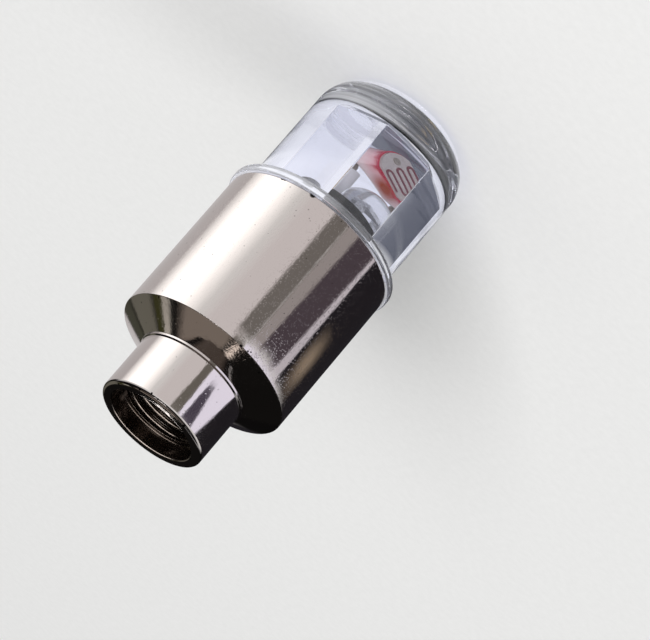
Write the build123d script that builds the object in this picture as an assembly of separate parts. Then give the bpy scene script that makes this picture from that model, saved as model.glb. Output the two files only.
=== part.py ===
from build123d import *
import math
import os

# A lighted tyre valve cap: a plated barrel that screws onto the valve, and a clear
# head that unscrews from it to change the cells. It stands on its head, mouth up.
# Millimetres, +Z along the cap's axis, origin at the middle of the head's flat end.

# Button cells and what surrounds them
cell_d = 11.6
cell_height = 3.05
cell_count = 3
cell_edge = 0.4
cell_lip = 0.9
cell_cap_rise = 0.25
cell_groove = 0.3
cell_clearance = 0.1
sleeve_wall = 0.2
sleeve_length = 9.3
sleeve_clearance = 0.1

# Clear head: solid end, hexagonal cavity, flange, threaded skirt
end_wall = 3.4
end_radius = 3.4
hex_flats = 7.54
cavity_bevel = 0.45
flange_thickness = 0.75
flange_overhang = 0.25
flange_edge = 0.2
skirt_wall = 0.95
skirt_length = 4.0
ledge_inset = 0.3

# Barrel: thin tube, conical shoulder, neck with the valve thread
barrel_wall = 0.8
thread_clearance = 0.1
thread_runout = 0.4
chamber_clearance = 0.3
rim_gap = 0.05
rim_edge = 0.12
partition = 1.0
valve_bore_d = 7.0
valve_depth = 8.0
valve_lead_depth = 1.8
valve_lead_step = 0.55
neck_wall = 1.5
neck_length = 5.6
neck_edge = 0.3
shoulder_height = 1.5

# Black carrier with its boss, and the circuit board behind it
carrier_flange = 1.4
carrier_clearance = 0.1
boss_height = 2.8
boss_clearance = 0.27
boss_edge = 0.15
pocket_depth = 0.9
pocket_wall = 0.6
board_thickness = 0.8
board_clearance = 0.15
hole_clearance = 0.06
chip_clearance = 0.08

# Parts soldered to the board's head side, in the carrier's ring pocket
controller_length = 2.4
controller_width = 1.4
controller_height = 0.7
controller_angle = 20
resistor_length = 1.6
resistor_width = 0.8
resistor_height = 0.45
led_resistor_angle = -70
sensor_resistor_angle = 150
termination = 0.3
termination_step = 0.04

# Contacts
contact_d = 8.4
contact_hole_d = 5.6
contact_seat = 0.45
contact_sheet = 0.12
contact_height = 0.3
strip_width = 1.2
strip_sheet = 0.2
strip_seat = 1.2
strip_reach = 2.1
strip_gap = 0.05
strip_slot_play = 0.2
spring_height = 1.45
spring_wire = 0.45
spring_small_d = 4.4
spring_large_d = 9.4
spring_turns = 2.5

# Light-emitting diode
led_d = 3.0
led_height = 3.1
led_angle = -135
lead_size = 0.45
lead_pitch = 1.8
anvil_drop = 1.4
anvil_reach = 0.3
anvil_thickness = 0.35
cup_d = 0.8
cup_depth = 0.22
chip_size = 0.3

# Photocell: a flat-sided ceramic disc in a resin cup, held by two bent wires
photocell_d = 3.4
photocell_width = 2.72
photocell_plate = 0.8
photocell_thickness = 2.0
photocell_gap = 0.1
photocell_side = 0.62
photocell_drop = 1.8
photocell_rise = 5.9
photocell_angle = -150
photocell_azimuth = -96.4
photocell_lean = 8.8
photocell_roll = 26.2
coat_wall = 0.12
coat_step = 0.2
coat_edge = 0.55
track_pitch = 0.5
track_width = 0.16
track_sheet = 0.04
track_passes = 6
track_length = 1.15
print_ahead = 0.16
wire_d = 0.4
wire_pitch = 2.54
wire_head_d = 0.5
wire_head_rise = 0.08
wire_back = 0.6
wire_aside = 0.2
wire_pinch = 0.15
wire_bend = 0.4
wire_sleeve_d = 0.76
wire_sleeve_length = 5.0
wire_sleeve_clearance = 0.03

# Shake switch: a sealed can on two pins
switch_d = 2.2
switch_height = 4.4
switch_edge = 0.3
switch_base = 0.5
switch_base_step = 0.12
switch_margin = 0.3
switch_angle = 30
switch_pin_d = 0.4
switch_pin_pitch = 1.1

# Heights, from the head's end up to the mouth
photocell_z = end_wall + photocell_drop
boss_z = photocell_z + photocell_rise
ledge_z = boss_z + boss_height
flange_low = ledge_z - ledge_inset
flange_high = flange_low + flange_thickness
skirt_end = flange_high + skirt_length
board_low = ledge_z + carrier_flange
board_high = board_low + board_thickness
cell_z = board_high + contact_height
cells_end = cell_z + cell_count * cell_height
chamber_top = cells_end + spring_height
valve_floor = chamber_top + partition
mouth_z = valve_floor + valve_depth
neck_z = mouth_z - neck_length
shoulder_z = neck_z - shoulder_height
rim_z = flange_high + rim_gap
thread_end = skirt_end + thread_runout

# Radii, from the cells out to the barrel
sleeve_in_r = cell_d / 2 + cell_clearance
sleeve_r = sleeve_in_r + sleeve_wall
skirt_bore_r = sleeve_r + sleeve_clearance
skirt_r = skirt_bore_r + skirt_wall
thread_r = skirt_r + thread_clearance
barrel_r = thread_r + barrel_wall
flange_r = barrel_r + flange_overhang
chamber_r = sleeve_r + chamber_clearance
valve_r = valve_bore_d / 2
neck_r = valve_r + neck_wall
boss_r = hex_flats / 2 - boss_clearance
carrier_r = skirt_bore_r - carrier_clearance
board_r = skirt_bore_r - board_clearance
wire_r = wire_d / 2

seated = (Align.CENTER, Align.CENTER, Align.MIN)
behind_axis = (Align.CENTER, Align.MIN, Align.MIN)


def turned(points):
    profile = make_face(Polyline(*points, close=True))
    return revolve(Plane.XZ * profile, Axis.Z)


def circles(shape, radius, z):
    def matches(edge):
        on_radius = abs(edge.radius - radius) < 1e-4
        return on_radius and abs(edge.center(CenterOf.MASS).Z - z) < 1e-4

    return [edge for edge in shape.edges().filter_by(GeomType.CIRCLE) if matches(edge)]


def disc(radius, low, high, x=0.0, y=0.0):
    return Pos(x, y, low) * extrude(Circle(radius), high - low)


def around(radius, angle):
    return radius * math.cos(math.radians(angle)), radius * math.sin(math.radians(angle))


# The photocell's own plane: x along its long side and z out of its face
def photocell_plane():
    lean = math.radians(photocell_lean)
    azimuth = math.radians(photocell_azimuth)
    flat = math.cos(lean)
    normal = Vector(flat * math.cos(azimuth), flat * math.sin(azimuth), -math.sin(lean))
    level = Vector(0, 0, 1).cross(normal).normalized()
    upright = normal.cross(level)
    roll = math.radians(photocell_roll)
    long_side = level * -math.cos(roll) + upright * math.sin(roll)
    facet = Vector(*around(1, photocell_angle))
    lean_to_facet = normal.dot(facet)
    reach = photocell_d / 2 * math.sqrt(1 - lean_to_facet**2)
    x, y = around(hex_flats / 2 - reach - photocell_gap, photocell_angle)
    side_x, side_y = around(photocell_side, photocell_angle + 90)
    return Plane((x + side_x, y + side_y, photocell_z), x_dir=long_side, z_dir=normal)


# The two bent wires: through the disc, back, then down beside each other to the board
def photocell_wires():
    place = photocell_plane()
    back = -(photocell_thickness + wire_back)
    wires = []
    for side in (-1, 1):
        along = print_ahead + side * wire_pitch / 2
        front = place.from_local_coords(Vector(along, wire_aside, 0))
        behind = place.from_local_coords(Vector(along, wire_aside, back))
        pinch = place.x_dir * (-side * wire_pinch)
        foot_x = behind.X + pinch.X
        foot_y = behind.Y + pinch.Y
        turn_z = max(boss_z - wire_sleeve_length, behind.Z + wire_back)
        points = [front, behind, Vector(foot_x, foot_y, turn_z), Vector(foot_x, foot_y, board_high)]
        path = FilletPolyline(*points, radius=wire_bend)
        start = Plane(front, x_dir=place.x_dir, z_dir=-place.z_dir)
        wire = sweep(start * Circle(wire_r), path=path)
        head = place * Pos(along, wire_aside) * Circle(wire_head_d / 2)
        wire = wire + extrude(head, wire_head_rise)
        wires.append((wire, foot_x, foot_y, turn_z))
    return wires


def photocell_outline(grow):
    side = photocell_width + 2 * grow
    length = photocell_d + 2 * grow
    return Circle(length / 2) & Rectangle(length, side)


# The printed serpentine: straight passes along the disc, joined by half turns
def photocell_track():
    half = track_length / 2
    first = -(track_passes - 1) / 2 * track_pitch
    run = None
    for step in range(track_passes):
        y = first + step * track_pitch
        way = -1 if step % 2 == 0 else 1
        line = Line((-way * half, y), (way * half, y))
        run = line if run is None else run + line
        if step < track_passes - 1:
            top = (way * (half + track_pitch / 2), y + track_pitch / 2)
            run += ThreePointArc((way * half, y), top, (way * half, y + track_pitch))
    return trace(run, line_width=track_width)


def make_photocell():
    place = photocell_plane()
    wires = photocell_wires()
    solids = [wire for wire, x, y, z in wires]
    plate = extrude(place * photocell_outline(0), -photocell_plate)
    coat_front = place.offset(-coat_step)
    coat = extrude(coat_front * photocell_outline(coat_wall), -(photocell_thickness - coat_step))
    coat_back = coat.faces().sort_by(Axis(place.origin, -place.z_dir))[-1]
    coat = fillet(coat_back.edges(), coat_edge) - plate
    track = extrude(place * Pos(print_ahead, 0) * photocell_track(), track_sheet)
    foot_x, foot_y, turn_z = wires[0][1:]
    sleeve_top = boss_z - wire_sleeve_length + wire_bend
    sleeve = disc(wire_sleeve_d / 2, sleeve_top, boss_z, foot_x, foot_y)
    sleeve -= disc(wire_r + wire_sleeve_clearance, sleeve_top, boss_z, foot_x, foot_y)
    return {
        "photocell_plate": plate - solids,
        "photocell_coat": coat - solids,
        "photocell_track": track - solids,
        "photocell_wire_left": solids[0],
        "photocell_wire_right": solids[1],
        "wire_sleeve": sleeve,
    }


# The diode's plane: x along its two legs, y across them, upright like the cap
def led_plane():
    x, y = around(boss_r - led_d / 2, led_angle)
    across = around(1, led_angle + 90)
    return Plane((x, y, 0), x_dir=(across[0], across[1], 0), z_dir=(0, 0, 1))


def led_leg_places():
    place = led_plane()
    return [place.from_local_coords(Vector(side * lead_pitch / 2, 0, 0)) for side in (-1, 1)]


def make_led():
    place = led_plane()
    radius = led_d / 2
    dome_z = boss_z - led_height + radius
    body = disc(radius, dome_z, boss_z)
    body += Pos(0, 0, dome_z) * Sphere(radius)
    body = place * body
    leg_x = lead_pitch / 2
    anvil_z = boss_z - anvil_drop
    legs = []
    for side in (-1, 1):
        leg = Box(lead_size, lead_size, board_high - anvil_z, align=seated)
        legs.append(Pos(side * leg_x, 0, anvil_z) * leg)
    anvil_width = leg_x + lead_size / 2 + anvil_reach
    anvil = Pos(-anvil_reach, 0, anvil_z) * Box(
        anvil_width, cup_d + 2 * lead_size / 3, anvil_thickness, align=(Align.MIN, Align.CENTER, Align.MIN)
    )
    anvil = anvil + disc(cup_d / 2 + lead_size / 3, anvil_z, anvil_z + anvil_thickness)
    cathode = legs[1] + anvil - disc(cup_d / 2, anvil_z, anvil_z + cup_depth)
    chip_z = anvil_z + cup_depth - chip_size / 2
    chip = Pos(0, 0, chip_z) * Box(chip_size, chip_size, chip_size / 2, align=seated)
    anode = place * legs[0]
    cathode = place * cathode
    chip = place * chip
    return {
        "led_body": body - [anode, cathode, chip],
        "led_anode": anode,
        "led_cathode": cathode,
        "led_chip": chip,
    }


def switch_pin_places():
    x, y = around(boss_r - switch_d / 2 - switch_margin, switch_angle)
    across = around(switch_pin_pitch / 2, switch_angle + 90)
    return [(x + side * across[0], y + side * across[1]) for side in (-1, 1)]


def make_switch():
    x, y = around(boss_r - switch_d / 2 - switch_margin, switch_angle)
    base_z = boss_z - switch_base
    can = disc(switch_d / 2 - switch_base_step, boss_z - switch_height, base_z, x, y)
    can = fillet(can.faces().sort_by(Axis.Z)[0].edges(), switch_edge)
    can += disc(switch_d / 2, base_z, boss_z, x, y)
    for pin_x, pin_y in switch_pin_places():
        can += disc(switch_pin_d / 2, boss_z, board_high, pin_x, pin_y)
    return can


def make_lens():
    lens = turned([
        (0, 0), (skirt_r, 0), (skirt_r, flange_low), (flange_r, flange_low), (flange_r, flange_high),
        (skirt_r, flange_high), (skirt_r, skirt_end), (skirt_bore_r, skirt_end), (skirt_bore_r, ledge_z),
        (0, ledge_z),
    ])
    lens = fillet(circles(lens, skirt_r, 0), end_radius)
    lens = fillet(circles(lens, flange_r, flange_low) + circles(lens, flange_r, flange_high), flange_edge)
    hexagon = RegularPolygon(hex_flats / math.sqrt(3), 6)
    cavity = Pos(0, 0, end_wall) * extrude(hexagon, ledge_z - end_wall)
    cavity = chamfer(cavity.faces().sort_by(Axis.Z)[0].edges(), cavity_bevel)
    slot_width = strip_width + 2 * strip_slot_play
    slot_low = board_high - strip_slot_play
    slot = Pos(0, skirt_bore_r - skirt_wall / 2, slot_low) * Box(
        slot_width, 2 * skirt_wall, skirt_end - slot_low, align=behind_axis
    )
    return lens - cavity - slot


def make_barrel():
    lead_r = valve_r + valve_lead_step
    lead_z = mouth_z - valve_lead_depth
    barrel = turned([
        (0, chamber_top), (chamber_r, chamber_top), (chamber_r, thread_end), (thread_r, thread_end),
        (thread_r, rim_z), (barrel_r, rim_z), (barrel_r, shoulder_z), (neck_r, neck_z), (neck_r, mouth_z),
        (lead_r, mouth_z), (lead_r, lead_z), (valve_r, lead_z), (valve_r, valve_floor), (0, valve_floor),
    ])
    barrel = fillet(circles(barrel, neck_r, mouth_z), neck_edge)
    return chamfer(circles(barrel, barrel_r, rim_z) + circles(barrel, thread_r, rim_z), rim_edge)


# Holes for every leg that goes through the carrier's boss and into the board
def leg_holes(clearance):
    low = boss_z
    high = board_high
    holes = []
    for wire, x, y, z in photocell_wires():
        holes.append(disc(wire_r + clearance, low, high, x, y))
    for x, y in switch_pin_places():
        holes.append(disc(switch_pin_d / 2 + clearance, low, high, x, y))
    place = led_plane()
    for leg in led_leg_places():
        width = lead_size + 2 * clearance
        box = Box(width, width, high - low, align=seated)
        holes.append(Plane((leg.X, leg.Y, low), x_dir=place.x_dir, z_dir=(0, 0, 1)) * box)
    return holes


def make_carrier():
    carrier = disc(carrier_r, ledge_z, board_low)
    boss = disc(boss_r, boss_z, board_low)
    boss = fillet(boss.faces().sort_by(Axis.Z)[0].edges(), boss_edge)
    pocket = disc(carrier_r - pocket_wall, board_low - pocket_depth, board_low)
    pocket -= disc(boss_r, board_low - pocket_depth, board_low)
    well = Box(
        controller_length + 2 * chip_clearance, controller_width + 2 * chip_clearance,
        controller_height + chip_clearance, align=seated,
    )
    pocket += chip_place(controller_angle) * well
    return carrier + boss - pocket - leg_holes(hole_clearance)


def make_board():
    return disc(board_r, board_low, board_high) - leg_holes(0)


# A chip lies on the board's head side, its long side along the ring pocket
def chip_place(angle):
    x, y = around((boss_r + carrier_r - pocket_wall) / 2, angle)
    along = around(1, angle + 90)
    return Plane((x, y, board_low), x_dir=(along[0], along[1], 0), z_dir=(0, 0, -1))


def make_controller():
    body = Box(controller_length, controller_width, controller_height, align=seated)
    return chip_place(controller_angle) * body


# A chip resistor: a ceramic middle between two slightly larger soldered ends
def make_resistor(angle):
    waist_width = resistor_width - 2 * termination_step
    waist_height = resistor_height - termination_step
    resistor = Box(resistor_length - 2 * termination, waist_width, waist_height, align=seated)
    end_x = (resistor_length - termination) / 2
    for side in (-1, 1):
        resistor += Pos(side * end_x, 0) * Box(termination, resistor_width, resistor_height, align=seated)
    return chip_place(angle) * resistor


# A dished ring: its outer edge lies on the board, its inner edge on the first cell
def make_cell_contact():
    outer = contact_d / 2
    inner = contact_hole_d / 2
    seat_top = board_high + contact_sheet
    touch_under = cell_z - contact_sheet
    return turned([
        (outer, board_high), (outer, seat_top), (outer - contact_seat, seat_top),
        (inner + contact_seat, cell_z), (inner, cell_z), (inner, touch_under),
        (inner + contact_seat, touch_under), (outer - contact_seat, board_high),
    ])


# A bent strip from the board's edge out through the skirt's slot to the barrel's wall
def make_earth_strip():
    outer = thread_r - strip_gap
    inner = board_r - strip_seat
    foot = Pos(0, inner, board_high) * Box(
        strip_width, outer - inner, strip_sheet, align=behind_axis
    )
    finger = Pos(0, outer, board_high) * Box(
        strip_width, strip_sheet, strip_reach, align=(Align.CENTER, Align.MAX, Align.MIN)
    )
    return foot + finger


# One sealed cell: crimped can below, raised cap above
def make_cell(low):
    radius = cell_d / 2
    shoulder = low + cell_height - cell_cap_rise
    groove_r = radius - cell_lip
    cap_r = groove_r - cell_groove
    cell = turned([
        (0, low), (radius, low), (radius, shoulder), (groove_r, shoulder),
        (groove_r, shoulder - cell_groove), (cap_r, shoulder - cell_groove),
        (cap_r, low + cell_height), (0, low + cell_height),
    ])
    return fillet(circles(cell, radius, low) + circles(cell, radius, shoulder), cell_edge)


def make_cell_sleeve():
    top = board_high + sleeve_length
    sleeve = disc(sleeve_r, board_high, top) - disc(sleeve_in_r, board_high, top)
    notch_width = strip_width + 2 * strip_slot_play
    notch = Pos(0, sleeve_in_r - sleeve_wall, board_high) * Box(
        notch_width, 3 * sleeve_wall, strip_sheet + strip_slot_play, align=behind_axis
    )
    return sleeve - notch


# A conical coil, small end on the last cell and large end on the barrel's partition
def make_contact_spring():
    wire = spring_wire / 2
    rise = spring_height - spring_wire
    grow = (spring_large_d - spring_small_d) / 2
    cone = math.degrees(math.atan2(grow, rise))
    foot = (0, 0, cells_end + wire)
    path = Helix(rise / spring_turns, rise, spring_small_d / 2, center=foot, cone_angle=cone)
    start = Plane(path @ 0, z_dir=path % 0)
    return sweep(start * Circle(wire), path=path, is_frenet=True)


nodes = {
    "barrel": make_barrel(),
    "lens": make_lens(),
    "carrier": make_carrier(),
    "circuit_board": make_board(),
    "controller": make_controller(),
    "led_resistor": make_resistor(led_resistor_angle),
    "sensor_resistor": make_resistor(sensor_resistor_angle),
    "shake_switch": make_switch(),
    "cell_contact": make_cell_contact(),
    "earth_strip": make_earth_strip(),
    "cell_sleeve": make_cell_sleeve(),
    "contact_spring": make_contact_spring(),
}
nodes.update(make_led())
nodes.update(make_photocell())
for number in range(cell_count):
    nodes[f"cell_{number + 1}"] = make_cell(cell_z + number * cell_height)

os.makedirs("parts", exist_ok=True)
for name, shape in nodes.items():
    export_step(shape, f"parts/{name}.step")
    print(name, round(shape.volume, 3), len(shape.solids()))
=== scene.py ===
import math

import bpy
import numpy as np
from mathutils import Matrix, Vector


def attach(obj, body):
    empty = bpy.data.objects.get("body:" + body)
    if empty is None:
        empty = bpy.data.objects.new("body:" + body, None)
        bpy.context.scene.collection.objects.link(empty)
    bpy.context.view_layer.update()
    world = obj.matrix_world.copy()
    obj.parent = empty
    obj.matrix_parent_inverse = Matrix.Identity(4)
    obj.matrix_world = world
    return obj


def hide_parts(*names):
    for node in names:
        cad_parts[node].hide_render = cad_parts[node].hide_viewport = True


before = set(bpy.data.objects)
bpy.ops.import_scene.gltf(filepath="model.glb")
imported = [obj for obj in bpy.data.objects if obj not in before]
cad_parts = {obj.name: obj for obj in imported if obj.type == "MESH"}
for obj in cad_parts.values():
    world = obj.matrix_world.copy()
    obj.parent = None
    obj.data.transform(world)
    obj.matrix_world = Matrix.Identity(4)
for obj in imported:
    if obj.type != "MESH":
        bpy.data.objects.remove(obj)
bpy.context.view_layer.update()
scene = bpy.context.scene
mm = 0.001
sameMm = 1e-6  # points closer than this count as one
noiseLow, noiseHigh = 0.35, 0.65  # most of a noise texture's values lie between these
print("frame loaded")


# Colour: sRGB hex to the linear values that a shader socket takes
def linear(hexCode):
    values = [int(hexCode[i:i + 2], 16) / 255 for i in (1, 3, 5)]
    curve = [v / 12.92 if v <= 0.04045 else ((v + 0.055) / 1.055) ** 2.4 for v in values]
    return (*curve, 1.0)


# An input is a value, a socket or a node whose first output is meant
def setInputs(tree, node, inputs):
    for name, value in inputs.items():
        if isinstance(value, bpy.types.Node):
            value = value.outputs[0]
        if isinstance(value, bpy.types.NodeSocket):
            tree.links.new(value, node.inputs[name])
        else:
            node.inputs[name].default_value = value


# One node with its settings and links; on a Mix node, 6 and 7 are the two colours
def addNode(tree, kind, inputs=None, **settings):
    node = tree.nodes.new("ShaderNode" + kind)
    for name, value in settings.items():
        setattr(node, name, value)
    setInputs(tree, node, inputs or {})
    return node


# A material starts as a bare principled shader with its constants on its own sockets
def startMaterial(name, inputs):
    material = bpy.data.materials.new(name)
    material.use_nodes = True
    tree = material.node_tree
    shader = tree.nodes["Principled BSDF"]
    setInputs(tree, shader, inputs)
    place = addNode(tree, "TexCoord").outputs["Object"]
    return material, tree, shader, place


# Pattern sizes are given in millimetres; a texture's scale is the number of repeats in a metre
def perMetre(sizeMm):
    return 1 / (sizeMm * mm)


def setStops(ramp, stops):
    elements = ramp.color_ramp.elements
    for position, colour in stops[1:-1]:
        elements.new(position)
    for element, (position, colour) in zip(elements, stops):
        element.position = position
        element.color = colour


# How far a point of the surface is from the object's axis
def axisDistance(tree, place):
    level = addNode(tree, "VectorMath", {0: place, 1: (1, 1, 0)}, operation="MULTIPLY")
    return addNode(tree, "VectorMath", {0: level}, operation="LENGTH").outputs["Value"]


# 1 at a spot, falling to 0 between its inner and its outer reach
def nearSpot(tree, place, spotMm, reachMm):
    spot = [v * mm for v in spotMm]
    apart = addNode(tree, "VectorMath", {0: place, 1: spot}, operation="DISTANCE").outputs["Value"]
    inner, outer = [v * mm for v in reachMm]
    return addNode(tree, "MapRange", {"Value": apart, "From Min": outer, "From Max": inner})


# Scattered round dots, 1 in the middle and 0 past their reach, in some of a texture's cells
def scatteredDots(tree, place, cellMm, reach, chosenFrom):
    cells = addNode(tree, "TexVoronoi", {"Vector": place, "Scale": perMetre(cellMm)})
    outer, inner = reach
    dot = addNode(tree, "MapRange", {"Value": cells, "From Min": outer, "From Max": inner})
    lot = addNode(tree, "SeparateColor", {0: cells.outputs["Color"]})
    chosen = addNode(tree, "Math", {0: lot, 1: chosenFrom}, operation="GREATER_THAN")
    return addNode(tree, "Math", {0: dot, 1: chosen}, operation="MULTIPLY")


# Nickel plate on a turned barrel: a bright mirror, a little warm, with a faint orange peel and
# pimples that fray what it reflects, and dark pits along the edges where the plate is thin. Its
# side has dull specks that show as a light dust on dark bands, drawn coarser than dust so that
# they show, and hazy patches
nickelLook = {
    "plate": "#d3ccc9", "pit": "#1d1a1a", "roughness": (0.05, 0.1), "hazeMm": 5.0,
    # The bore's colour is darker than the plate's: painted shade in the hollow
    "bore": "#8d837c", "boreRoughness": 0.15, "plateFromMm": (4.06, 4.16),
    "drawnOut": 0.3, "peelMm": 0.42, "peelDepthMm": 0.0035, "grainMm": 0.13, "grain": 0.45,
    "pimpleMm": 0.33, "pimpleReach": (0.2, 0.0), "pimples": 1.3, "pimplesFrom": 0.6,
    "speckMm": 0.17, "speckReach": (0.46, 0.28), "specksFrom": 0.4, "speckRoughness": 0.27,
    "speckedFromMm": (7.8, 8.0),
    "pitSpacingMm": 0.8, "pitSize": 0.035, "edgePitSize": 0.12, "pitEdge": 0.03,
    "edgeHeightsMm": (14.5, 28.9, 35.9), "edgeReachMm": 0.4,
    "nickMm": (4.15, -6.9, 14.45), "nickReachMm": (0.2, 0.32),
}


def makeNickel():
    look = nickelLook
    material, tree, shader, place = startMaterial("nickelPlate", {"Metallic": 1.0})
    # Peel and grain are drawn out along the axis, so that the bands it mirrors keep sharp ends
    drawn = addNode(tree, "VectorMath", {0: place, 1: (1, 1, look["drawnOut"])}, operation="MULTIPLY")
    peel = addNode(tree, "TexNoise", {"Vector": drawn, "Scale": perMetre(look["peelMm"]), "Detail": 1.0})
    grain = addNode(tree, "TexNoise", {"Vector": drawn, "Scale": perMetre(look["grainMm"]), "Detail": 0.0})
    relief = addNode(tree, "Math", {0: grain, 1: look["grain"], 2: peel}, operation="MULTIPLY_ADD")
    pimple = scatteredDots(tree, place, look["pimpleMm"], look["pimpleReach"], look["pimplesFrom"])
    relief = addNode(tree, "Math", {0: pimple, 1: look["pimples"], 2: relief}, operation="MULTIPLY_ADD")
    # The bore was cut after plating: it has no peel and is duller. Its darker colour is painted shade in
    # the hollow
    radius = axisDistance(tree, place)
    low, high = [v * mm for v in look["plateFromMm"]]
    plate = addNode(tree, "MapRange", {"Value": radius, "From Min": low, "From Max": high})
    depth = look["peelDepthMm"] * mm
    normal = addNode(tree, "Bump", {"Height": relief, "Distance": depth, "Strength": plate})
    metals = {0: plate, 6: linear(look["bore"]), 7: linear(look["plate"])}
    metal = addNode(tree, "Mix", metals, data_type="RGBA").outputs[2]
    # Pits grow towards the edges, and one nick sits on the rim
    height = addNode(tree, "SeparateXYZ", {0: place}).outputs["Z"]
    reach = look["edgeReachMm"] * mm
    pitSize = look["pitSize"]
    for edgeHeight in look["edgeHeightsMm"]:
        away = addNode(tree, "Math", {0: height, 1: edgeHeight * mm}, operation="SUBTRACT")
        away = addNode(tree, "Math", {0: away}, operation="ABSOLUTE")
        near = addNode(tree, "MapRange", {"Value": away, "From Min": reach, "From Max": 0.0})
        grown = {0: near, 1: look["edgePitSize"], 2: pitSize}
        pitSize = addNode(tree, "Math", grown, operation="MULTIPLY_ADD")
    cells = addNode(tree, "TexVoronoi", {"Vector": place, "Scale": perMetre(look["pitSpacingMm"])})
    outside = addNode(tree, "Math", {0: cells, 1: pitSize}, operation="SUBTRACT")
    pit = addNode(tree, "MapRange", {"Value": outside, "From Min": look["pitEdge"], "From Max": 0.0})
    nick = nearSpot(tree, place, look["nickMm"], look["nickReachMm"])
    dark = addNode(tree, "Math", {0: pit, 1: nick}, operation="MAXIMUM")
    tones = {0: dark, 6: metal, 7: linear(look["pit"])}
    colour = addNode(tree, "Mix", tones, data_type="RGBA").outputs[2]
    # Roughness: hazy patches, the specks on the side, then the bore
    patches = addNode(tree, "TexNoise", {"Vector": place, "Scale": perMetre(look["hazeMm"])})
    low, high = look["roughness"]
    span = {"From Min": noiseLow, "From Max": noiseHigh, "To Min": low, "To Max": high}
    haze = addNode(tree, "MapRange", {"Value": patches, **span})
    speck = scatteredDots(tree, place, look["speckMm"], look["speckReach"], look["specksFrom"])
    low, high = [v * mm for v in look["speckedFromMm"]]
    side = addNode(tree, "MapRange", {"Value": radius, "From Min": low, "From Max": high})
    speck = addNode(tree, "Math", {0: speck, 1: side}, operation="MULTIPLY")
    haze = addNode(tree, "MapRange", {"Value": speck, "To Min": haze, "To Max": look["speckRoughness"]})
    rough = addNode(tree, "MapRange", {"Value": plate, "To Min": look["boreRoughness"], "To Max": haze})
    setInputs(tree, shader, {"Base Color": colour, "Roughness": rough, "Normal": normal})
    return material


# Clear plastic bends what is seen through it, but lets lamp light and stray light straight through
def startClear(name, inputs):
    material, tree, shader, place = startMaterial(name, inputs)
    paths = addNode(tree, "LightPath")
    surface = shader.outputs["BSDF"]
    for ray in ("Is Diffuse Ray", "Is Shadow Ray"):
        straight = addNode(tree, "BsdfTransparent", {"Color": inputs["Base Color"]})
        surface = addNode(tree, "MixShader", {0: paths.outputs[ray], 1: surface, 2: straight}).outputs[0]
    setInputs(tree, tree.nodes["Material Output"], {"Surface": surface})
    return material, tree, shader, place


# Clear moulded acrylic: water clear; its rounded end and its flange are dulled by rings of fine
# scratches, which scatter a share of the light and are drawn coarser than they are so that they
# show. The haze is heavier on one side, which paints that side lighter as the lit side, and the
# bevel in its cavity is hazed to paint a bright line along it
acrylicLook = {
    "tint": "#f4f5fb", "roughness": 0.0, "ior": 1.49, "streakMm": 0.5, "streaks": (0.4, 1.6),
    "topMm": 15.0, "hazeAtMm": (
        (0.0, 0.15), (2.8, 0.18), (3.6, 0.26), (4.1, 0.26), (4.5, 0.0), (13.3, 0.0), (13.7, 0.22)),
    "dulledFromMm": (5.6, 6.4), "litSideMm": (1.5, 6.0), "litSideHaze": (0.4, 1.6),
    "bevelAtMm": (3.65, 0.2), "bevelReachMm": (4.7, 4.5), "bevelHaze": 0.45,
}


def makeAcrylic():
    look = acrylicLook
    constants = {"Base Color": linear(look["tint"]), "Roughness": look["roughness"], "IOR": look["ior"]}
    material, tree, shader, place = startClear("clearAcrylic", constants)
    parts = addNode(tree, "SeparateXYZ", {0: place}).outputs
    sideways, height = parts["X"], parts["Z"]
    radius = axisDistance(tree, place)
    top = look["topMm"]
    share = addNode(tree, "Math", {0: height, 1: top * mm}, operation="DIVIDE")
    haze = addNode(tree, "ValToRGB", {"Fac": share})
    setStops(haze, [(level / top, (dull, dull, dull, 1)) for level, dull in look["hazeAtMm"]])
    rings = addNode(tree, "CombineXYZ", {0: radius, 2: height})
    marks = addNode(tree, "TexNoise", {"Vector": rings, "Scale": perMetre(look["streakMm"]), "Detail": 2.0})
    low, high = look["streaks"]
    span = {"From Min": noiseLow, "From Max": noiseHigh, "To Min": low, "To Max": high}
    streaks = addNode(tree, "MapRange", {"Value": marks, **span})
    dulled = addNode(tree, "Math", {0: haze, 1: streaks}, operation="MULTIPLY")
    # Only the outside is dulled, and the haze grows towards one side, which paints that side lighter as the
    # lit side
    low, high = [v * mm for v in look["dulledFromMm"]]
    outside = addNode(tree, "MapRange", {"Value": radius, "From Min": low, "From Max": high})
    dulled = addNode(tree, "Math", {0: dulled, 1: outside}, operation="MULTIPLY")
    low, high = [v * mm for v in look["litSideMm"]]
    least, most = look["litSideHaze"]
    span = {"From Min": low, "From Max": high, "To Min": least, "To Max": most}
    litSideHaze = addNode(tree, "MapRange", {"Value": sideways, **span})
    dulled = addNode(tree, "Math", {0: dulled, 1: litSideHaze}, operation="MULTIPLY")
    # The bevel's haze paints a bright line along it
    middle, half = [v * mm for v in look["bevelAtMm"]]
    beside = addNode(tree, "Math", {0: height, 1: middle, 2: half}, operation="COMPARE")
    outer, inner = [v * mm for v in look["bevelReachMm"]]
    within = addNode(tree, "MapRange", {"Value": radius, "From Min": outer, "From Max": inner})
    bevel = addNode(tree, "Math", {0: beside, 1: within}, operation="MULTIPLY")
    dulled = addNode(tree, "Math", {0: bevel, 1: look["bevelHaze"], 2: dulled}, operation="MULTIPLY_ADD")
    clear = addNode(tree, "Math", {0: 1.0, 1: dulled}, operation="SUBTRACT")
    setInputs(tree, shader, {"Transmission Weight": clear})
    return material


# Diode epoxy: clear, but cloudy with a diffuser
epoxyLook = {"tint": "#f4f5f8", "roughness": 0.05, "ior": 1.5, "clear": 0.78}


def makeEpoxy():
    look = epoxyLook
    constants = {
        "Base Color": linear(look["tint"]), "Roughness": look["roughness"],
        "IOR": look["ior"], "Transmission Weight": look["clear"],
    }
    return startClear("diodeEpoxy", constants)[0]


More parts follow.
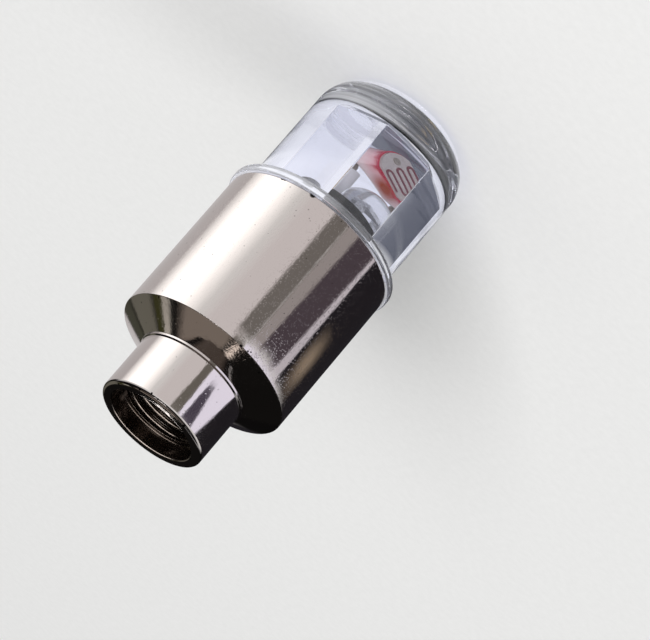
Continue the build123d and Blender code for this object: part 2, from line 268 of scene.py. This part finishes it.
# A plain finish in two close tones that a grain mixes, with that grain in its gloss and relief.
# Where the real grain is finer than about a tenth of a millimetre it is drawn that coarse to show
grainLow, grainHigh = 0.3, 0.7


def makeFinish(name, tones, grainMm, gloss, depthMm, metallic=0.0, specular=0.5):
    constants = {"Metallic": metallic, "Specular IOR Level": specular}
    material, tree, shader, place = startMaterial(name, constants)
    noise = addNode(tree, "TexNoise", {"Vector": place, "Scale": perMetre(grainMm), "Detail": 3.0})
    grain = addNode(tree, "MapRange", {"Value": noise, "From Min": grainLow, "From Max": grainHigh})
    mix = {0: grain, 6: linear(tones[0]), 7: linear(tones[1])}
    colour = addNode(tree, "Mix", mix, data_type="RGBA").outputs[2]
    rough = addNode(tree, "MapRange", {"Value": grain, "To Min": gloss[0], "To Max": gloss[1]})
    normal = addNode(tree, "Bump", {"Height": grain, "Distance": depthMm * mm})
    setInputs(tree, shader, {"Base Color": colour, "Roughness": rough, "Normal": normal})
    return material


# Photocell resin: crimson where it meets the ceramic, then a pinkish white cup, with one
# orange stain where the resin lies thick; glossy, as it was dipped
resinLook = {
    "roughness": 0.18, "coat": 0.4,
    "faceMm": (-1.676, -1.683, 5.2), "azimuth": -96.4, "lean": 8.8, "depthMm": 2.0,
    "bands": (
        (0.0, "#a5203a"), (0.15, "#c03c50"), (0.34, "#e6b0b0"), (0.6, "#efcbc8"), (1.0, "#f6e7e2")),
    "wanderMm": 0.6, "wander": 0.25,
    "stain": "#a83a12", "stainMm": (-1.4, -1.1, 6.8), "stainReachMm": (0.3, 1.0),
}


def makeResin():
    look = resinLook
    constants = {"Roughness": look["roughness"], "Coat Weight": look["coat"]}
    material, tree, shader, place = startMaterial("photocellResin", constants)
    azimuth, lean = math.radians(look["azimuth"]), math.radians(look["lean"])
    flat = math.cos(lean)
    outward = Vector((flat * math.cos(azimuth), flat * math.sin(azimuth), -math.sin(lean)))
    face = outward.dot(Vector(look["faceMm"])) * mm
    ahead = addNode(tree, "VectorMath", {0: place, 1: outward}, operation="DOT_PRODUCT").outputs["Value"]
    back = face - look["depthMm"] * mm
    share = addNode(tree, "MapRange", {"Value": ahead, "From Min": face, "From Max": back})
    noise = addNode(tree, "TexNoise", {"Vector": place, "Scale": perMetre(look["wanderMm"])})
    wander = look["wander"]
    shift = addNode(tree, "MapRange", {"Value": noise, "To Min": -wander, "To Max": wander})
    depth = addNode(tree, "Math", {0: share, 1: shift}, operation="ADD")
    bands = addNode(tree, "ValToRGB", {"Fac": depth})
    setStops(bands, [(position, linear(colour)) for position, colour in look["bands"]])
    stain = nearSpot(tree, place, look["stainMm"], look["stainReachMm"])
    tones = {0: stain, 6: bands, 7: linear(look["stain"])}
    colour = addNode(tree, "Mix", tones, data_type="RGBA").outputs[2]
    setInputs(tree, shader, {"Base Color": colour})
    return material


nickel = makeNickel()
acrylic = makeAcrylic()
epoxy = makeEpoxy()
print("materials made")


def addObject(name, data):
    thing = bpy.data.objects.new(name, data)
    scene.collection.objects.link(thing)
    return thing


# A closed sheet from a grid of points: columns go round the axis, and the first and last
# rows shrink to one point each on the axis
def axisSurface(name, points):
    rows, columns = points.shape[:2]
    body = points[1:-1].reshape(-1, 3)
    corners = np.vstack([points[0, :1], body, points[-1, :1]])
    row = np.arange(rows - 3)[:, None]
    column = np.arange(columns)[None, :]
    following = (column + 1) % columns
    first = 1 + row * columns
    quads = np.stack([first + column, first + following,
                      first + columns + following, first + columns + column], axis=-1).reshape(-1, 4)
    last = len(corners) - 1
    ring = 1 + (rows - 3) * columns
    startFan = np.stack([np.zeros_like(column[0]), 1 + following[0], 1 + column[0]], axis=-1)
    endFan = np.stack([np.full_like(column[0], last), ring + column[0], ring + following[0]], axis=-1)
    faces = quads.tolist() + startFan.tolist() + endFan.tolist()
    mesh = bpy.data.meshes.new(name)
    mesh.from_pydata((corners * mm).tolist(), [], faces)
    mesh.polygons.foreach_set("use_smooth", np.ones(len(faces), bool))
    mesh.update()
    return addObject(name, mesh)


# A turned outline of (radius, height) points in millimetres. Each inner corner becomes an
# arc of its own radius, with a guard point on both sides so that the flats stay flat
def turnedOutline(corners, radii, steps=5, guard=1.25):
    spots = [np.array(corner, float) for corner in corners]
    outline = [spots[0]]
    for before, here, after, radius in zip(spots[:-2], spots[1:-1], spots[2:], radii):
        back = (before - here) / np.linalg.norm(before - here)
        ahead = (after - here) / np.linalg.norm(after - here)
        half = math.acos(np.clip(back @ ahead, -1, 1)) / 2
        reach = radius / math.tan(half)
        middle = (back + ahead) / np.linalg.norm(back + ahead)
        centre = here + middle * radius / math.sin(half)
        start = here + back * reach - centre
        end = here + ahead * reach - centre
        sweep = math.pi - 2 * half
        outline.append(here + back * reach * guard)
        for t in np.linspace(0, 1, steps):
            arm = (start * math.sin((1 - t) * sweep) + end * math.sin(t * sweep)) / math.sin(sweep)
            outline.append(centre + arm)
        outline.append(here + ahead * reach * guard)
    outline.append(spots[-1])
    return np.array(outline)


# A thread's section over one turn, 0 in the root and 1 on the crest: a triangle made steeper
# and cut off at both ends, which leaves short flats
threadSection = {"steepness": 1.35, "drop": 0.12}


def threadWave(phase):
    saw = np.abs((phase % 1.0) - 0.5) * 2
    return np.clip((1 - saw) * threadSection["steepness"] - threadSection["drop"], 0, 1)


barrelShape = {
    "chamberTop": 27.0, "chamberRadius": 6.4, "threadEnd": 18.75, "threadRadius": 7.25, "rim": 14.4,
    "radius": 8.05, "shoulder": 28.9, "neckRadius": 5.0, "neck": 30.4, "mouth": 36.0,
    "collar": 0.12, "collarFoot": 30.34,
    "leadRadius": 4.05, "lead": 34.5, "boreRadius": 3.5, "boreFloor": 28.0,
    "cornerRadii": (0.1, 0.05, 0.05, 0.1, 0.12, 0.05, 0.03, 0.03, 0.04, 0.3, 0.12, 0.05, 0.02, 0.05),
    "threadPitch": 0.794, "threadDepth": 0.4, "fadeIn": 0.15, "fadeOut": 0.8,
    "columns": 288, "threadRows": 150,
}


# The barrel is its outline turned round the axis; down the bore the radius grows by the thread's
# depth between its crests, where the wave's phase is height over pitch less the share of a turn
def makeBarrel():
    s = barrelShape
    collarRadius = s["neckRadius"] + s["collar"]
    corners = [
        (0, s["chamberTop"]), (s["chamberRadius"], s["chamberTop"]), (s["chamberRadius"], s["threadEnd"]),
        (s["threadRadius"], s["threadEnd"]), (s["threadRadius"], s["rim"]), (s["radius"], s["rim"]),
        (s["radius"], s["shoulder"]), (collarRadius, s["collarFoot"]),
        (collarRadius, s["neck"] + s["collar"]), (s["neckRadius"], s["neck"] + 2 * s["collar"]),
        (s["neckRadius"], s["mouth"]), (s["leadRadius"], s["mouth"]), (s["leadRadius"], s["lead"]),
        (s["boreRadius"], s["lead"]), (s["boreRadius"], s["boreFloor"]), (0, s["boreFloor"]),
    ]
    outline = turnedOutline(corners, s["cornerRadii"])
    heights = outline[:, 1]
    onBore = np.abs(outline[:, 0] - s["boreRadius"]) < sameMm
    rows = np.nonzero(onBore & (heights < s["lead"]) & (heights > s["boreFloor"]))[0]
    top, bottom = heights[rows[0]], heights[rows[-1]]
    levels = np.linspace(top, bottom, s["threadRows"])
    fill = np.column_stack([np.full(s["threadRows"], s["boreRadius"]), levels])
    outline = np.vstack([outline[:rows[0]], fill, outline[rows[-1] + 1:]])
    turn = np.arange(s["columns"]) / s["columns"]
    radius = np.repeat(outline[:, :1], s["columns"], axis=1)
    height = np.repeat(outline[:, 1:], s["columns"], axis=1)
    threaded = slice(rows[0], rows[0] + s["threadRows"])
    level = height[threaded]
    wave = threadWave(level / s["threadPitch"] - turn)
    fade = np.clip((top - level) / s["fadeIn"], 0, 1) * np.clip((level - bottom) / s["fadeOut"], 0, 1)
    radius[threaded] += s["threadDepth"] * (1 - wave) * fade
    angle = 2 * math.pi * turn
    points = np.stack([radius * np.cos(angle), radius * np.sin(angle), height], axis=-1)
    piece = axisSurface("barrelShell", points)
    piece.data.materials.append(nickel)
    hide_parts("barrel")
    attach(piece, "barrel")


makeBarrel()
print("barrel made")

lensShape = {
    "radius": 7.15, "flangeLow": 13.6, "flangeHigh": 14.35, "flangeRadius": 8.3,
    "skirtEnd": 18.35, "skirtBore": 6.2, "ledge": 13.9, "ledgeWidth": 1, "cavityEnd": 3.4,
    "cornerRadii": (3.4, 0.1, 0.2, 0.2, 0.05, 0.1, 0.1, 0.05), "cornerSteps": 24,
    "apothem": 3.77, "bevel": 0.45, "cavityCorner": 0.12, "edge": 0.03,
    "threadPitch": 1.0, "threadDepth": 0.3, "threadRows": 56, "runout": 0.3, "fade": 0.4,
    "arcPoints": 9, "guard": 1.4, "flatFrom": 2.5, "flatPoints": 40,
}
hexTurn = math.pi / 3  # from one corner of the hexagon to the next
hexHalf = math.pi / 6


# Angles round the head: close together at the six cavity corners and even along the flats
def lensAngles(shape):
    arcHalf = math.atan2(shape["cavityCorner"] / 2, shape["apothem"] / math.cos(hexHalf))
    near = np.linspace(-1, 1, shape["arcPoints"]) * arcHalf
    guard = np.array([-shape["guard"], shape["guard"]]) * arcHalf
    start = shape["flatFrom"] * arcHalf
    far = np.linspace(start, hexTurn - start, shape["flatPoints"])
    sixth = np.sort(np.concatenate([near, guard, far]))
    return np.concatenate([sixth + k * hexTurn for k in range(6)])


# The cavity's radius at an angle: flat distance over the cosine from the flat's middle,
# with a small arc of its own centre in each corner
def cavityRadius(angle, shape):
    fromCorner = (angle + hexHalf) % hexTurn - hexHalf
    flat = shape["apothem"] / np.cos(hexHalf - np.abs(fromCorner))
    small = shape["cavityCorner"]
    centre = (shape["apothem"] - small) / math.cos(hexHalf)
    root = np.maximum(small ** 2 - (centre * np.sin(fromCorner)) ** 2, 0)
    arc = centre * np.cos(fromCorner) + np.sqrt(root)
    tangent = math.atan2(small / 2, centre + small * math.cos(hexHalf))
    return np.where(np.abs(fromCorner) < tangent, arc, flat)


# The head is its outline turned round the axis, with a thread wave on the skirt; from the
# ledge the radius runs from a circle to the hexagon, and the hexagon goes down to its bevel and end
def makeLens():
    s = lensShape
    angle = lensAngles(s)
    corners = [
        (0, 0), (s["radius"], 0), (s["radius"], s["flangeLow"]), (s["flangeRadius"], s["flangeLow"]),
        (s["flangeRadius"], s["flangeHigh"]), (s["radius"], s["flangeHigh"]), (s["radius"], s["skirtEnd"]),
        (s["skirtBore"], s["skirtEnd"]), (s["skirtBore"], s["ledge"]),
        (s["skirtBore"] - s["ledgeWidth"], s["ledge"]),
    ]
    outline = turnedOutline(corners, s["cornerRadii"], s["cornerSteps"])
    low = s["flangeHigh"] + s["runout"]
    high = s["skirtEnd"] - s["runout"]
    onSkirt = (np.abs(outline[:, 0] - s["radius"]) < sameMm) & (outline[:, 1] > s["flangeHigh"])
    at = np.nonzero(onSkirt)[0][0] + 1
    levels = np.linspace(low, high, s["threadRows"])
    fill = np.column_stack([np.full(s["threadRows"], s["radius"]), levels])
    outline = np.vstack([outline[:at], fill, outline[at:]])
    radius = np.repeat(outline[:, :1], len(angle), axis=1)
    height = np.repeat(outline[:, 1:], len(angle), axis=1)
    threaded = slice(at, at + s["threadRows"])
    level = height[threaded]
    wave = threadWave(level / s["threadPitch"] - angle / (2 * math.pi))
    fade = np.clip((level - low) / s["fade"], 0, 1) * np.clip((high - level) / s["fade"], 0, 1)
    radius[threaded] -= s["threadDepth"] * (1 - wave) * fade
    hexagon = cavityRadius(angle, s)
    ends = hexagon * ((s["apothem"] - s["bevel"]) / s["apothem"])
    edge = s["edge"]
    bevelTop = s["cavityEnd"] + s["bevel"]
    insideRows = [
        (hexagon + 2 * edge, s["ledge"]), (hexagon + edge, s["ledge"]),
        (hexagon, s["ledge"] - edge), (hexagon, s["ledge"] - 2 * edge),
        (hexagon, bevelTop + 2 * edge), (hexagon, bevelTop + edge),
        (hexagon - edge, bevelTop - edge), (hexagon - 2 * edge, bevelTop - 2 * edge),
        (ends + 2 * edge, s["cavityEnd"] + 2 * edge), (ends + edge, s["cavityEnd"] + edge),
        (ends - edge, s["cavityEnd"]), (ends - 2 * edge, s["cavityEnd"]),
        (hexagon * 0, s["cavityEnd"]),
    ]
    radius = np.vstack([radius] + [row[None, :] for row, level in insideRows])
    height = np.vstack([height] + [np.full((1, len(angle)), level) for row, level in insideRows])
    points = np.stack([radius * np.cos(angle), radius * np.sin(angle), height], axis=-1)
    piece = axisSurface("lensBody", points)
    piece.data.materials.append(acrylic)
    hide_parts("lens")
    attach(piece, "lens")


makeLens()
print("lens made")

nodeFinish = {
    # Moulded nylon: black and half matt, with the mould's grain
    "carrier": makeFinish("carrierNylon", ("#121214", "#1d1d20"), 0.12, (0.35, 0.55), 0.004),
    # Lacquer over glass cloth: green and fairly glossy
    "circuit_board": makeFinish("boardLacquer", ("#1f5a30", "#2f7440"), 0.3, (0.25, 0.4), 0.006),
    # Chip moulding: black and dull
    "controller": makeFinish("chipMoulding", ("#19191b", "#262629"), 0.1, (0.45, 0.65), 0.004),
    "led_body": epoxy,
    # Tinned copper: a soft grey mirror
    "led_anode": makeFinish("tinnedCopper", ("#b9b9b7", "#d6d6d4"), 0.4, (0.18, 0.34), 0.006, 1.0),
    # Coated die: matt yellow
    "led_chip": makeFinish("diodeDie", ("#cdbb62", "#e0d184"), 0.08, (0.4, 0.6), 0.002),
    # Fired ceramic: greyish beige with a low gloss
    "photocell_plate": makeFinish("photocellCeramic", ("#a0968f", "#b5aca6"), 0.1, (0.3, 0.45), 0.004),
    "photocell_coat": makeResin(),
    # Sulphide film: dull dark red
    "photocell_track": makeFinish("photocellFilm", ("#5c2a33", "#7a3f47"), 0.09, (0.35, 0.5), 0.003),
    # Solder-dipped wire: brownish grey, barely metallic
    "photocell_wire_left": makeFinish("dullSolder", ("#7d746b", "#9a9188"), 0.2, (0.4, 0.55), 0.006, 0.4),
    # Drawn plastic tube: milky and smooth
    "wire_sleeve": makeFinish("paleSleeve", ("#d2d2d0", "#e6e6e4"), 0.5, (0.3, 0.45), 0.008),
    # Drawn brass: a warm soft mirror
    "shake_switch": makeFinish("switchBrass", ("#bfa266", "#d6bd86"), 0.5, (0.18, 0.3), 0.004, 1.0),
    # Rolled bronze: warm, a little duller than the brass
    "cell_contact": makeFinish("contactBronze", ("#c39f60", "#d9bb7d"), 0.4, (0.22, 0.36), 0.004, 1.0),
    # Pressed steel: a cool mirror with a fine haze
    "cell_1": makeFinish("cellSteel", ("#b8b8ba", "#d0d0d1"), 0.35, (0.16, 0.3), 0.003, 1.0),
    # Drawn steel wire: satin
    "contact_spring": makeFinish("springWire", ("#b4b4b3", "#cdcdca"), 0.3, (0.2, 0.34), 0.004, 1.0),
}
sameFinish = {
    "led_resistor": "controller", "sensor_resistor": "controller", "led_cathode": "led_anode",
    "photocell_wire_right": "photocell_wire_left", "earth_strip": "cell_contact",
    "cell_2": "cell_1", "cell_3": "cell_1", "cell_sleeve": "wire_sleeve",
}
for name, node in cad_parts.items():
    if name in ("barrel", "lens"):
        continue
    node.data.materials.clear()
    node.data.materials.append(nodeFinish[sameFinish.get(name, name)])
print("inner pieces finished")

# Both lamps stand far out, so that the floor is lit evenly
stageShape = {
    "floorHalf": 1500.0, "floorDrop": 0.06, "paper": ("#e7e7e6", "#eaeae9"), "lampsAim": (0, 0, 20),
    "keyLamp": {"place": (720, -1140, 1160), "size": 780, "power": 21.0},
    "fillLamp": {"place": (-1050, -750, 1310), "size": 750, "power": 6.4},
    "sky": (1, 1, 1, 1), "skyStrength": 0.5,
}


# The floor is one flat square of pale uncoated paper: matt, with a soft tooth
def makeFloor():
    half = stageShape["floorHalf"]
    corners = np.array([(-half, -half), (half, -half), (half, half), (-half, half)])
    level = np.full((4, 1), -stageShape["floorDrop"])
    mesh = bpy.data.meshes.new("floor")
    mesh.from_pydata((np.hstack([corners, level]) * mm).tolist(), [], [(0, 1, 2, 3)])
    paper = makeFinish("floorPaper", stageShape["paper"], 0.8, (0.8, 0.86), 0.001, specular=0.1)
    mesh.materials.append(paper)
    panel = addObject("floor", mesh)


def makeLamp(name):
    shape = stageShape[name]
    data = bpy.data.lights.new(name, "AREA")
    data.shape = "RECTANGLE"
    data.size = data.size_y = shape["size"] * mm
    data.energy = shape["power"]
    lamp = addObject(name, data)
    place = Vector(shape["place"])
    lamp.location = place * mm
    lamp.rotation_mode = "QUATERNION"
    lamp.rotation_quaternion = (Vector(stageShape["lampsAim"]) - place).to_track_quat("-Z", "Y")


makeFloor()
makeLamp("keyLamp")
makeLamp("fillLamp")


# A glowing card that paints a reflection: only polished metal sees it, or only what looks through
# clear plastic. Its glow falls away to nothing over the soft share of each side
def makeCard(name, points, card, seenBy):
    rows, columns = points.shape[:2]
    number = np.arange(rows * columns).reshape(rows, columns)
    faces = np.stack([number[:-1, :-1], number[:-1, 1:], number[1:, 1:], number[1:, :-1]], axis=-1)
    mesh = bpy.data.meshes.new(name)
    mesh.from_pydata((points.reshape(-1, 3) * mm).tolist(), [], faces.reshape(-1, 4).tolist())
    fade = []
    for count, soft in zip((rows, columns), reversed(card["soft"])):
        way = np.linspace(0, 1, count)
        fade.append(np.clip(np.minimum(way, 1 - way) / max(soft, sameMm), 0, 1))
    cover = mesh.attributes.new("cover", "FLOAT", "POINT")
    cover.data.foreach_set("value", np.outer(*fade).ravel())
    material = bpy.data.materials.new(name)
    material.use_nodes = True
    tree = material.node_tree
    tree.nodes.remove(tree.nodes["Principled BSDF"])
    light = {"Color": linear(card["colour"]), "Strength": card.get("strength", 1.0)}
    glow = addNode(tree, "Emission", light)
    share = addNode(tree, "Attribute", attribute_name="cover").outputs["Fac"]
    surface = addNode(tree, "MixShader", {0: share, 1: addNode(tree, "BsdfTransparent"), 2: glow})
    setInputs(tree, tree.nodes["Material Output"], {"Surface": surface})
    mesh.materials.append(material)
    piece = addObject(name, mesh)
    for ray in ("camera", "diffuse", "glossy", "transmission", "shadow", "volume_scatter"):
        setattr(piece, "visible_" + ray, ray == seenBy)


cardRows, cardColumns = 21, 41
domeCentre = 33.0


# A patch of an upright ring round the object: its two sides are directions in degrees, given at
# its foot and at its top, and run straight between them
def ringPatch(card):
    across = np.linspace(0, 1, cardColumns)[None, :]
    left = np.linspace(*card["left"], cardRows)[:, None]
    right = np.linspace(*card["right"], cardRows)[:, None]
    angle = np.radians(left + (right - left) * across)
    height = np.linspace(*card["heights"], cardRows)[:, None] + 0 * across
    return np.stack([card["radius"] * np.cos(angle), card["radius"] * np.sin(angle), height], axis=-1)


# A patch of a sphere over the object, between two directions and two elevations in degrees
def domePatch(card):
    angle = np.radians(np.linspace(*card["directions"], cardColumns))[None, :]
    rise = np.radians(np.linspace(*card["elevations"], cardRows))[:, None]
    flat = np.cos(rise)
    shell = np.stack([flat * np.cos(angle), flat * np.sin(angle), np.sin(rise) + 0 * angle], axis=-1)
    return card["radius"] * shell + np.array([0, 0, domeCentre])


# A flat sector at a height, between two directions in degrees and two distances from the axis
def flatPatch(card):
    angle = np.radians(np.linspace(*card["directions"], cardColumns))[None, :]
    reach = np.linspace(*card["reach"], cardRows)[:, None]
    height = card["height"] + 0 * reach * angle
    return np.stack([reach * np.cos(angle), reach * np.sin(angle), height], axis=-1)


# Painted reflections of the bands on the barrel and the neck, the highlight among them
ringCards = {
    "backCard": {"left": (30, 30), "right": (178, 178), "heights": (0.2, 47), "radius": 60.0,
                 "soft": (0.1, 0.02), "colour": "#100f0f"},
    "backOliveCard": {"left": (60, 50), "right": (96, 96), "heights": (26, 47), "radius": 59.0,
                      "soft": (0.2, 0.3), "colour": "#4a4a40"},
    "highlightCard": {"left": (-38, -38), "right": (32, 32), "heights": (1, 30), "radius": 25.0,
                      "soft": (0.34, 0.05), "colour": "#fffefc", "strength": 1.9},
    "sideCard": {"left": (8, 8), "right": (128, 128), "heights": (1, 30), "radius": 25.6,
                 "soft": (0.2, 0.05), "colour": "#cac6c6"},
    "frontCard": {"left": (-40, -40), "right": (-94, -94), "heights": (1, 30), "radius": 25.6,
                  "soft": (0.22, 0.05), "colour": "#e6e1e1"},
    "greyCard": {"left": (-75.5, -75), "right": (-97, -97), "heights": (2, 21), "radius": 25.0,
                 "soft": (0.16, 0.02), "colour": "#7c7874"},
    "paleStripCard": {"left": (-95, -95), "right": (-114, -111), "heights": (2, 20.8), "radius": 25.2,
                      "soft": (0.05, 0.008), "colour": "#a9a3a2"},
    "plumCard": {"left": (-110, -105), "right": (-142.2, -135), "heights": (2, 20.6), "radius": 24.8,
                 "soft": (0.1, 0.008), "colour": "#534a51"},
    "lineCard": {"left": (-131, -124), "right": (-148, -150), "heights": (2, 20.7), "radius": 25.3,
                 "soft": (0.02, 0.008), "colour": "#d6d2da"},
    "lilacCard": {"left": (-93, -93), "right": (-165, -165), "heights": (20.4, 28), "radius": 25.4,
                  "soft": (0.02, 0.02), "colour": "#eae8f8", "strength": 1.3},
    "blackCard": {"left": (-143, -143), "right": (-245, -245), "heights": (0.5, 20.8), "radius": 25.1,
                  "soft": (0.012, 0.02), "colour": "#252327"},
    "neckBlackCard": {"left": (-161, -141), "right": (-245, -245), "heights": (20.6, 28), "radius": 25.1,
                      "soft": (0.04, 0.02), "colour": "#252327"},
    "brownCard": {"left": (-147, -148), "right": (-178, -182), "heights": (12.5, 20.5), "radius": 24.7,
                  "soft": (0.42, 0.42), "colour": "#9c8d7b"},
    "neckGreyCard": {"left": (-79, -76.5), "right": (-93, -99), "heights": (21, 28), "radius": 24.6,
                     "soft": (0.14, 0.02), "colour": "#747069"},
    "neckPlumCard": {"left": (-104, -102.5), "right": (-117, -134), "heights": (23.2, 28), "radius": 24.5,
                     "soft": (0.12, 0.08), "colour": "#534d5b"},
}
# Painted reflections of the tones and the glint on the shoulder
domeCards = {
    "darkDome": {"directions": (-180, 180), "elevations": (6, 90), "radius": 120.0,
                 "soft": (0.0, 0.0), "colour": "#151413"},
    "oliveDome": {"directions": (48, 98), "elevations": (6, 37), "radius": 118.0,
                  "soft": (0.1, 0.15), "colour": "#706e64"},
    "oliveStripDome": {"directions": (40, 98), "elevations": (36, 43), "radius": 117.0,
                       "soft": (0.1, 0.1), "colour": "#3c3c22"},
    "teardropDome": {"directions": (58, 80), "elevations": (42.5, 49.5), "radius": 116.0,
                     "soft": (0.2, 0.12), "colour": "#bdb8ae"},
    "brownDome": {"directions": (20, 122), "elevations": (54, 98), "radius": 115.0,
                  "soft": (0.1, 0.15), "colour": "#857b72"},
    "glintDome": {"directions": (116, 142), "elevations": (69, 78), "radius": 114.0,
                  "soft": (0.15, 0.2), "colour": "#f5e6da", "strength": 1.2},
    "frontDome": {"directions": (-150, 5), "elevations": (40, 79), "radius": 119.0,
                  "soft": (0.15, 0.1), "colour": "#5a524c"},
}
# Painted reflections: dark beside the head, and a glowing card over the mouth that paints highlights in the
# bore
flatCards = {
    "darkFloorCard": {"directions": (-205, 155), "reach": (7.6, 27), "height": -0.02,
                      "soft": (0.0, 0.08), "colour": "#2c2d33"},
    "boreCard": {"directions": (58, 152), "reach": (0.6, 3.5), "height": 38.0,
                 "soft": (0.05, 0.05), "colour": "#fbf8f5", "strength": 2.6},
}
# Painted light and shade seen through the head: pale behind its left, and slate shade behind its right and
# under its middle
clearRingCards = {
    "slateCard": {"left": (146, 146), "right": (184, 184), "heights": (0.1, 9.8), "radius": 8.5,
                  "soft": (0.12, 0.1), "colour": "#60636e"},
    "paleCard": {"left": (-24, -24), "right": (140, 140), "heights": (0, 10.5), "radius": 8.6,
                 "soft": (0.04, 0.03), "colour": "#f3f4fb"},
}
# Painted shade under the head, and painted light round its foot on the left
clearFloorCards = {
    "underCard": {"directions": (-180, 180), "reach": (0.0, 3.9), "height": -0.03,
                  "soft": (0.0, 0.0), "colour": "#5c5f69"},
    "paleFootCard": {"directions": (-20, 85), "reach": (3.8, 10), "height": -0.04,
                     "soft": (0.03, 0.03), "colour": "#f3f4fb"},
}
cardSets = (
    (ringCards, ringPatch, "glossy"), (domeCards, domePatch, "glossy"), (flatCards, flatPatch, "glossy"),
    (clearRingCards, ringPatch, "transmission"), (clearFloorCards, flatPatch, "transmission"),
)
for cards, patch, seenBy in cardSets:
    for name, card in cards.items():
        makeCard(name, patch(card), card, seenBy)

world = bpy.data.worlds.new("studio")
world.use_nodes = True
sky = {"Color": stageShape["sky"], "Strength": stageShape["skyStrength"]}
setInputs(world.node_tree, world.node_tree.nodes["Background"], sky)
scene.world = world
print("stage made")

cameraShape = {
    "place": (80.39, -289.89, 157.58), "right": (-0.65568, -0.47636, -0.58579),
    "up": (0.70958, -0.12367, -0.69368), "lens": 221.5, "sensor": 36.0, "clip": (0.01, 10),
}
eye = bpy.data.cameras.new("camera")
eye.lens = cameraShape["lens"]
eye.sensor_width = cameraShape["sensor"]
eye.clip_start, eye.clip_end = cameraShape["clip"]
camera = addObject("camera", eye)
right = Vector(cameraShape["right"]).normalized()
up = Vector(cameraShape["up"]).normalized()
turn = Matrix((right, up, right.cross(up))).transposed()
camera.matrix_world = Matrix.Translation(Vector(cameraShape["place"]) * mm) @ turn.to_4x4()
bpy.context.scene.camera = camera
bpy.context.scene.view_settings.view_transform = "Standard"
# Light turns back many times inside the clear head before it leaves
bounces = {"max_bounces": 32, "glossy_bounces": 24, "transmission_bounces": 24}
for name, count in bounces.items():
    setattr(scene.cycles, name, count)
print("camera set")

bpy.context.view_layer.update()
